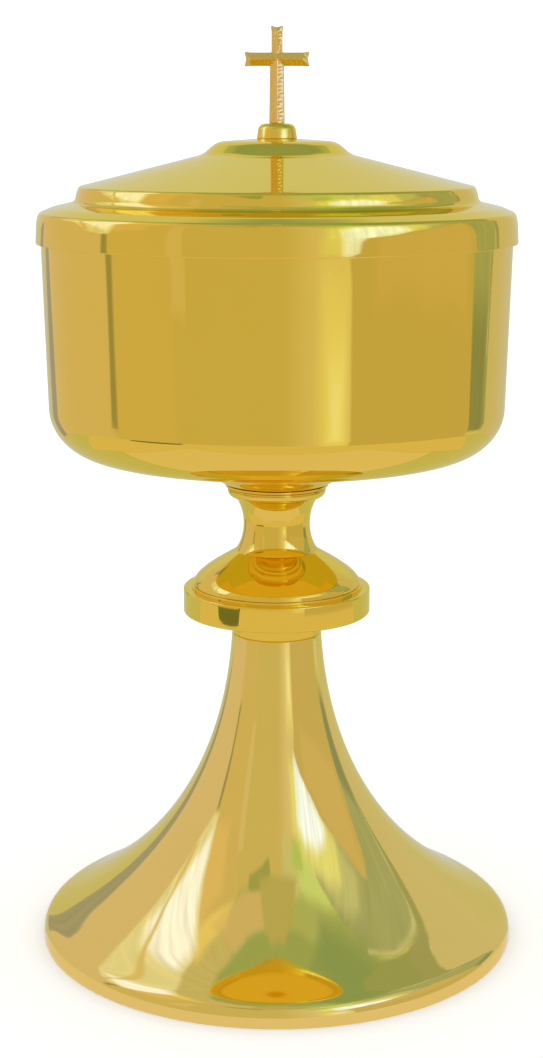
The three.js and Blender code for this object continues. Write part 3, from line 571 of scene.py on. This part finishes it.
bm = bmesh.new()
section = bmesh.ops.create_grid(bm, x_segments=1, y_segments=1, size=0.5)["verts"]
for v in section:
    v.co = Vector((ROD_BORE + (v.co.x + 0.5) * SPRING_WIDTH, 0,
                   CLAMP_TOP - WASHER_HEIGHT - SPRING_HEIGHT + (v.co.y + 0.5) * SPRING_HEIGHT)) * MM
bmesh.ops.rotate(bm, verts=section, matrix=Matrix.Rotation(math.radians(SPLIT / 2), 3, "Z"))
bmesh.ops.spin(bm, geom=bm.faces[:], axis=(0, 0, 1), cent=(0, 0, 0), dvec=(0, 0, 0), angle=math.radians(360 - SPLIT),
               steps=SPRING_STEPS, use_merge=False, use_duplicate=False)
bmesh.ops.holes_fill(bm, edges=bm.edges[:], sides=4)
bmesh.ops.recalc_face_normals(bm, faces=bm.faces)
bmesh.ops.bevel(bm, geom=[edge for edge in bm.edges if edge.calc_face_angle(0) > 1], offset=SPRING_EASE * MM,
                offset_type="OFFSET", segments=2, profile=0.5, affect="EDGES", material=-1)
spring_washer = piece_from(bm, "split_washer", zinc_steel)
fit(spring_washer, "stand", "spring_washer")


def hexagon_nut(name, base, height, flats, bore, material):
    """A bored hexagon nut with its corners eased at both ends."""
    bm = bmesh.new()
    across_corners = flats / 2 / math.cos(math.radians(30))
    rim = bmesh.ops.create_circle(bm, segments=6, radius=across_corners * MM)["verts"]
    bmesh.ops.rotate(bm, verts=rim, matrix=Matrix.Rotation(math.radians(30), 3, "Z"))
    bmesh.ops.create_circle(bm, segments=48, radius=bore * MM)
    bmesh.ops.translate(bm, verts=bm.verts, vec=(0, 0, base * MM))
    face = bmesh.ops.bridge_loops(bm, edges=bm.edges[:])["faces"]
    raised = bmesh.ops.extrude_face_region(bm, geom=face)["geom"]
    bmesh.ops.translate(bm, verts=[v for v in raised if isinstance(v, bmesh.types.BMVert)], vec=(0, 0, height * MM))
    bmesh.ops.recalc_face_normals(bm, faces=bm.faces)
    ends = [edge for edge in bm.edges if edge.calc_face_angle(0) > 1 and abs(
        edge.verts[0].co.z - edge.verts[1].co.z) < 1e-6]
    bmesh.ops.bevel(bm, geom=ends, offset=NUT_EASE * MM, offset_type="OFFSET", segments=2, profile=0.5,
                    affect="EDGES", material=-1)
    return piece_from(bm, name, material)


clamp_nut = hexagon_nut("nut_in_foot", CLAMP_TOP - WASHER_HEIGHT - SPRING_HEIGHT - NUT_HEIGHT, NUT_HEIGHT, NUT_FLATS,
                        ROD_BORE, zinc_steel)
fit(clamp_nut, "stand", "clamp_nut")

# The lower collar: a short ring between foot and knop, straight below and coved out under the knop. It is turned
# from brass bar, plated, and held only by the rod that pulls the stem together.
COLLAR_HEIGHT = 5.7
COLLAR_RADIUS = 11.7
COLLAR_BAND = 3.4
COLLAR_FLARE = 2.4
COLLAR_STEPS = 14
EDGE_BREAK = 0.14  # the fine bevel on a turned edge, which draws the joint lines between the pieces
STEM_TURN = 144  # facets round a narrow piece


def cove(start, corner, end, steps):
    """A hollow curve from start to end that leaves both towards their common corner."""
    start, corner, end = Vector(start), Vector(corner), Vector(end)
    return interpolate_bezier(start, start.lerp(corner, 2 / 3), end.lerp(corner, 2 / 3), end, steps)


# Gold plate on turned bar and on the bowl and lid, buffed harder than the foot. The images are sharp and straight,
# with only the faintest lines round the axis.
gold_plate = plated("mirror-buffed gold plate", "F3D44E", "F8DA56", 0.025, 0.045, 0.0002, 0.006)

collar = spun("collar", FOOT_HEIGHT, [
    (ROD_BORE, COLLAR_HEIGHT),
    (ROD_BORE, 0),
    (COLLAR_RADIUS, 0, EDGE_BREAK),
    *cove((COLLAR_RADIUS, COLLAR_BAND), (COLLAR_RADIUS, COLLAR_HEIGHT - NECK_EDGE),
          (COLLAR_RADIUS + COLLAR_FLARE, COLLAR_HEIGHT), COLLAR_STEPS),
], STEM_TURN, (gold_plate,))
fit(collar, "stand", "lower_collar")

# The knop: a flat-rimmed ring that the hand holds the vessel by, and a dome whose spigot drops into its recess.
# Both are turned from bar, with a fine step between them.
KNOP_BASE = FOOT_HEIGHT + COLLAR_HEIGHT
KNOP_RADIUS = 24.7
RIM_HEIGHT = 6.7
RIM_FILLET = 0.5
LEDGE_RADIUS = 22.6
LEDGE_RISE = 0.7
DOME_BASE = KNOP_BASE + RIM_HEIGHT + LEDGE_RISE
DOME_RADIUS = 22
DOME_LIP = 0.9
DOME_HEIGHT = 9.2
DOME_SWELL = (1.3, 2.9)  # how far the handle of the dome's curve stands in and up from its lip
DOME_SWEEP = (3.3, 2)  # how far the other handle stands out and down from its top
DOME_STEPS = 40
SPIGOT_RADIUS = 18
SPIGOT_DEPTH = 2
CLEARANCE = 0.3
STEM_RADIUS = 10.9  # of the spool's ends and of what they stand on

knop = spun("knop", KNOP_BASE, [
    (ROD_BORE, 0),
    (KNOP_RADIUS, 0, RIM_FILLET),
    (KNOP_RADIUS, RIM_HEIGHT, RIM_FILLET),
    (LEDGE_RADIUS, RIM_HEIGHT),
    (LEDGE_RADIUS, RIM_HEIGHT + LEDGE_RISE, EDGE_BREAK),
    (SPIGOT_RADIUS + CLEARANCE, RIM_HEIGHT + LEDGE_RISE),
    (SPIGOT_RADIUS + CLEARANCE, RIM_HEIGHT + LEDGE_RISE - SPIGOT_DEPTH - CLEARANCE),
    (ROD_BORE, RIM_HEIGHT + LEDGE_RISE - SPIGOT_DEPTH - CLEARANCE),
], WIDE_TURN, (gold_plate,))
dome = spun("dome", DOME_BASE, [
    (ROD_BORE, DOME_HEIGHT),
    (ROD_BORE, -SPIGOT_DEPTH),
    (SPIGOT_RADIUS, -SPIGOT_DEPTH),
    (SPIGOT_RADIUS, 0),
    (DOME_RADIUS, 0, EDGE_BREAK),
    *interpolate_bezier((DOME_RADIUS, DOME_LIP), (DOME_RADIUS - DOME_SWELL[0], DOME_LIP + DOME_SWELL[1]),
                        (STEM_RADIUS + DOME_SWEEP[0], DOME_HEIGHT - DOME_SWEEP[1]), (STEM_RADIUS, DOME_HEIGHT),
                        DOME_STEPS),
], WIDE_TURN, (gold_plate,))
fit(knop, "stand", "knop_ring")
fit(dome, "stand", "knop_dome")

# The spool: the waisted neck that two fingers close round. It is turned from bar, bored for the rod and plated,
# and stands on the dome.
SPOOL_BASE = DOME_BASE + DOME_HEIGHT
SPOOL_HEIGHT = 14.3
SPOOL_WAIST = 8.75
SPOOL_PULL = 3.8
SPOOL_STEPS = 40

pull = (8 * SPOOL_WAIST - 2 * STEM_RADIUS) / 6  # where the curve's handles stand for it to pass through the waist
spool = spun("spool", SPOOL_BASE, [
    (ROD_BORE, SPOOL_HEIGHT),
    (ROD_BORE, 0),
    *interpolate_bezier((STEM_RADIUS, 0), (pull, SPOOL_PULL), (pull, SPOOL_HEIGHT - SPOOL_PULL),
                        (STEM_RADIUS, SPOOL_HEIGHT), SPOOL_STEPS),
], STEM_TURN, (gold_plate,))
fit(spool, "stand", "neck_spool")

# The ovolo ring and the bowl collar: a quarter-round with a quirk cut over it, then a bead, another quirk and a
# cove that spreads to the seat of the bowl. Both are turned, and the collar is counterbored for the rod's head.
OVOLO_BASE = SPOOL_BASE + SPOOL_HEIGHT
OVOLO_RADIUS = 12.9
OVOLO_HEIGHT = 2.5
OVOLO_ROUND = 1.9
QUIRK = 0.4
SEAT_BASE = OVOLO_BASE + OVOLO_HEIGHT
SEAT_HEIGHT = 5.3
SEAT_RADIUS = 17.4
BEAD_RADIUS = 13.5
BEAD_HEIGHT = 0.9
COVE_CORNER = (0.8, 1.3)  # how far in from the seat's edge and up from the quirk the cove would be sharp
COVE_STEPS = 24
HEAD_BORE = HEAD_RADIUS + CLEARANCE

ovolo = spun("ovolo", OVOLO_BASE, [
    (ROD_BORE, OVOLO_HEIGHT),
    (ROD_BORE, 0),
    (STEM_RADIUS, 0),
    (OVOLO_RADIUS, 0, OVOLO_ROUND),
    (OVOLO_RADIUS, OVOLO_HEIGHT - QUIRK, EDGE_BREAK),
    (OVOLO_RADIUS - QUIRK, OVOLO_HEIGHT - QUIRK),
    (OVOLO_RADIUS - QUIRK, OVOLO_HEIGHT),
], STEM_TURN, (gold_plate,))
seat = spun("seat", SEAT_BASE, [
    (ROD_BORE, SEAT_HEIGHT - HEAD_HEIGHT),
    (ROD_BORE, 0),
    (OVOLO_RADIUS, 0),
    (BEAD_RADIUS, BEAD_HEIGHT / 2, EDGE_BREAK),
    (BEAD_RADIUS, BEAD_HEIGHT, EDGE_BREAK),
    (BEAD_RADIUS - QUIRK, BEAD_HEIGHT),
    *cove((BEAD_RADIUS, BEAD_HEIGHT + QUIRK / 2),
          (SEAT_RADIUS - COVE_CORNER[0], BEAD_HEIGHT + QUIRK / 2 + COVE_CORNER[1]),
          (SEAT_RADIUS, SEAT_HEIGHT), COVE_STEPS),
    (HEAD_BORE, SEAT_HEIGHT),
    (HEAD_BORE, SEAT_HEIGHT - HEAD_HEIGHT),
], STEM_TURN, (gold_plate,))
fit(ovolo, "stand", "ovolo_ring")
fit(seat, "stand", "bowl_collar")

# The bowl: a cup spun from one sheet, with a shallow floor, a round corner, a slightly tapered wall and a rim
# stepped in to take the lid. It is a mirror outside and satin inside, where the breads lie.
BOWL_BASE = SEAT_BASE + SEAT_HEIGHT
BOWL_RADIUS = 60.1
BOWL_HEIGHT = 65.1
BOWL_WALL = 1
BOWL_TAPER = 1.35
FLOOR_FLAT = SEAT_RADIUS + 0.4
FLOOR_ROUND = 40
CORNER_HEIGHT = 6.2
CORNER_ROUND = 12
RIM_DEPTH = 5.3
STEP_IN = 0.7
STEP_SLOPE = 1.2
STEP_OUTER = 1.2
STEP_INNER = 2
STEP_TOP = BOWL_HEIGHT - RIM_DEPTH
LIP_ROUND = 0.3

cup = spun("cup", BOWL_BASE, [
    (0, 0),
    (FLOOR_FLAT, 0, FLOOR_ROUND),
    (BOWL_RADIUS - BOWL_TAPER, CORNER_HEIGHT, CORNER_ROUND),
    (BOWL_RADIUS, STEP_TOP - STEP_SLOPE, STEP_OUTER),
    (BOWL_RADIUS - STEP_IN, STEP_TOP, STEP_INNER),
    (BOWL_RADIUS - STEP_IN, BOWL_HEIGHT),
], WIDE_TURN, (gold_plate, gold_inside), wall=BOWL_WALL, rims=[
    (BOWL_RADIUS - STEP_IN, BOWL_HEIGHT, LIP_ROUND),
    (BOWL_RADIUS - STEP_IN - BOWL_WALL, BOWL_HEIGHT, LIP_ROUND),
])
fit(cup, "stand", "bowl")

# The lid: a loose shell spun from one sheet, with a straight skirt round the rim, a convex shoulder, an upright
# tier, a low cone and a small crown that the boss sits on. The foot of the skirt is rolled.
LID_BASE = 186.89
LID_WALL = 0.9
LID_HEIGHT = 25.4
STUD_BORE = 2.3
SKIRT_RADIUS = 61.4
SKIRT_FOOT = -0.44
SKIRT_ROLL = 0.3

lid = spun("lid", LID_BASE, [
    (STUD_BORE, LID_HEIGHT),
    (5.55, LID_HEIGHT, 5),  # the flat that the boss stands on
    (15.1, 24.75, 5),  # the edge of the crown
    (18.9, 21.55, 5),  # its foot, where the cone begins
    (50.25, 13.65, 1.1),  # the edge of the cone, over the tier
    (50.95, 11.9, 5.5),
    (51.2, 9.9, 1.7),  # the foot of the tier
    (57.2, 8.5, 8),
    (60.5, 7.15, 1.4),  # the shoulder
    (61.1, 5.2, 10),
    (SKIRT_RADIUS, SKIRT_FOOT),
], WIDE_TURN, (gold_plate, gold_inside), wall=LID_WALL, rims=[
    (SKIRT_RADIUS, SKIRT_FOOT, SKIRT_ROLL),
])
fit(lid, "lid", "lid_shell")

# The boss: a small bell turned from bar and plated like the lid. A hole under it takes the stud, which is screwed
# in, and one in its top takes the tenon of the cross.
BOSS_BASE = LID_BASE + LID_HEIGHT
BOSS_HEIGHT = 3.8
BOSS_FOOT = 5.15
BOSS_TOP = 4.55
BOSS_EASE = 0.2
BOSS_ROUND = 1.8
BOSS_TURN = 96
STUD_DEPTH = 2.3
TENON_BORE = 1.5
TENON_FLOOR = 2.5

boss = spun("boss", BOSS_BASE, [
    (0, STUD_DEPTH),
    (STUD_BORE, STUD_DEPTH),
    (STUD_BORE, 0),
    (BOSS_FOOT, 0, BOSS_EASE),
    (BOSS_TOP, BOSS_HEIGHT, BOSS_ROUND),
    (TENON_BORE, BOSS_HEIGHT),
    (TENON_BORE, TENON_FLOOR),
    (0, TENON_FLOOR),
], BOSS_TURN, (gold_plate,))
fit(boss, "lid", "finial_boss")

# The cross: cast in one piece with ridged arms and fishtailed ends, beaten all over with a small hammer and gold
# plated. A tenon under its shaft is soldered into the boss.
CROSSING = 231.84
CROSS_UP = 8.2
CROSS_DOWN = 15.75
CROSS_SIDE = 8.2
ARM_HALF = (1.65, 1.65)  # half the width of a bar at its two ends
SHAFT_HALF = (1.97, 1.77)
HEAD_HALF = (1.4, 1.4)
RIDGE = 1.45  # half the thickness along the ridge
EDGE = 0.65  # half the thickness at the edges
HIP = 1.6  # how long the slope is that ends a ridge
NOTCH = 0.45
END_FLARE = 0.15
VOXEL = 0.12
SOFTENING = 6  # how often the casting's corners are smoothed
BLOW_SPACING = 0.93
BLOW_INNER = 0.5
BLOW_OUTER = 1.2
CROSSING_HALF = 2  # the arms' own blows stop at the shaft
BLOW_LENGTH = 0.4  # half the length of a dent along its bar
BLOW_WIDTH = 0.58
BLOW_DEPTH = 0.085
BLOW_START = 0.4  # where along its space a blow may land at the earliest, and how much further it may stray
BLOW_STRAY = 0.35
ARM_BLOWS = 0.5  # the blows on the arms go half as deep
OVERLAP = 0.02  # keeps the end of a ridge off the end of the bar where it has no slope
TENON_RADIUS = 1.2
TENON_DEPTH = 1
CAST_SKIN = 2500  # per metre, one pit every 0.4 mm


def ridged_bar(bm, halves, ends, hips, turned):
    """A bar along X with a ridge in front and behind, from its half widths at both ends. A hipped end is fishtailed."""
    stations = []
    for end, half, hip in zip(ends, halves, hips):
        inward = -math.copysign(1, end)
        flare = END_FLARE if hip else 0
        notch = NOTCH if hip else 0
        station = [(end + inward * across * notch, (half + flare) * up, depth) for up, depth, across in (
            (-1, -EDGE, 0), (-1, EDGE, 0), (0, EDGE, 1), (1, EDGE, 0), (1, -EDGE, 0), (0, -EDGE, 1))]
        inner = [(end + inward * (hip + OVERLAP), half * up, depth) for up, depth in (
            (-1, -EDGE), (-1, EDGE), (0, RIDGE), (1, EDGE), (1, -EDGE), (0, -RIDGE))]
        stations += [station, inner] if end < 0 else [inner, station]
    rings = []
    for station in stations:
        ring = [bm.verts.new((x * MM, depth * MM, up * MM)) for x, up, depth in station]
        rings.append([bm.edges.new((a, b)) for a, b in zip(ring, ring[1:] + ring[:1])])
    made = [v for ring in rings for edge in ring for v in edge.verts]
    for a, b in zip(rings, rings[1:]):
        bmesh.ops.bridge_loops(bm, edges=a + b)
    bmesh.ops.holes_fill(bm, edges=rings[0] + rings[-1], sides=6)
    if turned:
        bmesh.ops.rotate(bm, verts=list(set(made)), matrix=Matrix.Rotation(math.radians(-90), 3, "Y"))


bm = bmesh.new()
ridged_bar(bm, ARM_HALF, (-CROSS_SIDE, CROSS_SIDE), (HIP, HIP), False)
ridged_bar(bm, SHAFT_HALF, (-CROSS_DOWN, 0), (0, 0), True)
ridged_bar(bm, HEAD_HALF, (0, CROSS_UP), (0, HIP), True)
tenon = bmesh.ops.create_cone(bm, cap_ends=True, segments=32, radius1=TENON_RADIUS * MM, radius2=TENON_RADIUS * MM,
                              depth=2 * TENON_DEPTH * MM)["verts"]
bmesh.ops.translate(bm, verts=tenon, vec=(0, 0, -CROSS_DOWN * MM))
bmesh.ops.translate(bm, verts=bm.verts, vec=(0, 0, CROSSING * MM))
bmesh.ops.recalc_face_normals(bm, faces=bm.faces)
rough_cross = piece_from(bm, "rough_cross")
remesh = rough_cross.modifiers.new("cast", "REMESH")
remesh.mode = "VOXEL"
remesh.voxel_size = VOXEL * MM
cast = rough_cross.evaluated_get(bpy.context.evaluated_depsgraph_get())
bm = bmesh.new()
bm.from_mesh(cast.to_mesh())
bpy.data.objects.remove(rough_cross)
for _ in range(SOFTENING):
    bmesh.ops.smooth_vert(bm, verts=bm.verts, factor=0.5, use_axis_x=True, use_axis_y=True, use_axis_z=True)

# The hammer's blows, in a row down each of the four slopes of a bar. Each pushes a small dent into the casting.
blows = random.Random(5)
dents = []
for upright, low, high in ((False, -CROSS_SIDE, CROSS_SIDE), (True, -CROSS_DOWN, CROSS_UP)):
    for side in (-1, 1):
        for depth in (-1, 1):
            for k in range(int((high - low) / BLOW_SPACING)):
                along = low + (k + BLOW_START + BLOW_STRAY * blows.random()) * BLOW_SPACING
                across = side * blows.uniform(BLOW_INNER, BLOW_OUTER)
                x, z = (across, along) if upright else (along, across)
                if upright or abs(x) > CROSSING_HALF:
                    dents.append((Vector((x, depth * (RIDGE - abs(across) / 2), z + CROSSING)) * MM, upright))
nearest = KDTree(len(dents))
for i, (dent, _) in enumerate(dents):
    nearest.insert(dent, i)
nearest.balance()
moves = []
for v in bm.verts:
    dent, i, _ = nearest.find(v.co)
    away = (v.co - dent) / MM
    along, across = (away.z, away.x) if dents[i][1] else (away.x, away.z)
    reach = (along / BLOW_LENGTH) ** 2 + (across / BLOW_WIDTH) ** 2 + (away.y / BLOW_WIDTH) ** 2
    moves.append(v.normal * -BLOW_DEPTH * MM * max(0, 1 - reach) * (1 if dents[i][1] else ARM_BLOWS))
for v, move in zip(bm.verts, moves):
    v.co += move

# Gold plate over a casting that is hammered but not buffed. Its fine pitted skin, drawn 0.4 mm wide, softens what
# the dents mirror, so that they glitter rather than show an image.
cast_gold, shader = new_material("bright gold plate on a hammered casting")
place = add_node(cast_gold, "ShaderNodeTexCoord")
grain = add_node(cast_gold, "ShaderNodeTexNoise", inputs={
    "Vector": place.outputs["Object"], "Scale": CAST_SKIN, "Detail": 3, "Roughness": 0.6})
colour = add_node(cast_gold, "ShaderNodeMix", {"data_type": "RGBA"}, {
    0: grain.outputs["Fac"], 6: linear("F0C860"), 7: linear("FADC78")})
dulled = add_node(cast_gold, "ShaderNodeMapRange", inputs={
    "Value": grain.outputs["Fac"], "From Min": 0.3, "From Max": 0.7, "To Min": 0.08, "To Max": 0.2})
skin = add_node(cast_gold, "ShaderNodeBump", inputs={
    "Strength": 0.6, "Distance": 0.02 * MM, "Height": grain.outputs["Fac"]})
shader.inputs["Metallic"].default_value = 1
shader.inputs["Specular Tint"].default_value = linear(GLANCING_GOLD)
cast_gold.node_tree.links.new(colour.outputs[2], shader.inputs["Base Color"])
cast_gold.node_tree.links.new(dulled.outputs["Result"], shader.inputs["Roughness"])
cast_gold.node_tree.links.new(skin.outputs["Normal"], shader.inputs["Normal"])
cross = piece_from(bm, "cross", cast_gold)
fit(cross, "lid", "finial_cross")

# What holds the boss: a threaded brass stud through the crown, and a small washer and a cap nut inside the lid.
# The nut is turned and milled in one piece, a domed cap under a hexagon.
LID_WASHER_BASE = 210.59
LID_WASHER_RADIUS = 4.6
LID_WASHER_HEIGHT = 0.8
CAP_NUT_BASE = 204.29
CAP_NUT_FLATS = 7
CAP_NUT_HEIGHT = 3.2
CAP_DOME = 3.1
CAP_ROUND = 3
CAP_OVERLAP = 0.6  # how far the cap reaches up into the hexagon
LID_WASHER_EASE = 0.1
LID_WASHER_ROLL = 0.2

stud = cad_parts["finial_stud"]
stud.data.materials.clear()
stud.data.materials.append(turned_brass)

lid_washer = spun("washer_in_lid", LID_WASHER_BASE, [
    (STUD_BORE, 0, LID_WASHER_EASE),
    (LID_WASHER_RADIUS, 0, LID_WASHER_ROLL),
    (LID_WASHER_RADIUS, LID_WASHER_HEIGHT, LID_WASHER_EASE),
    (STUD_BORE, LID_WASHER_HEIGHT),
], ROD_TURN, (turned_brass,))
fit(lid_washer, "lid", "lid_washer")

cap_nut = hexagon_nut("nut_in_lid", CAP_NUT_BASE + CAP_DOME, CAP_NUT_HEIGHT, CAP_NUT_FLATS, STUD_BORE, turned_brass)
cap_dome = spun("nut_dome", CAP_NUT_BASE, [
    (0, 0),
    (CAP_DOME, 0, CAP_ROUND),
    (CAP_DOME, CAP_DOME + CAP_OVERLAP),
    (0, CAP_DOME + CAP_OVERLAP),
], WASHER_TURN, (turned_brass,))
for piece in (cap_nut, cap_dome):
    fit(piece, "lid", "cap_nut")
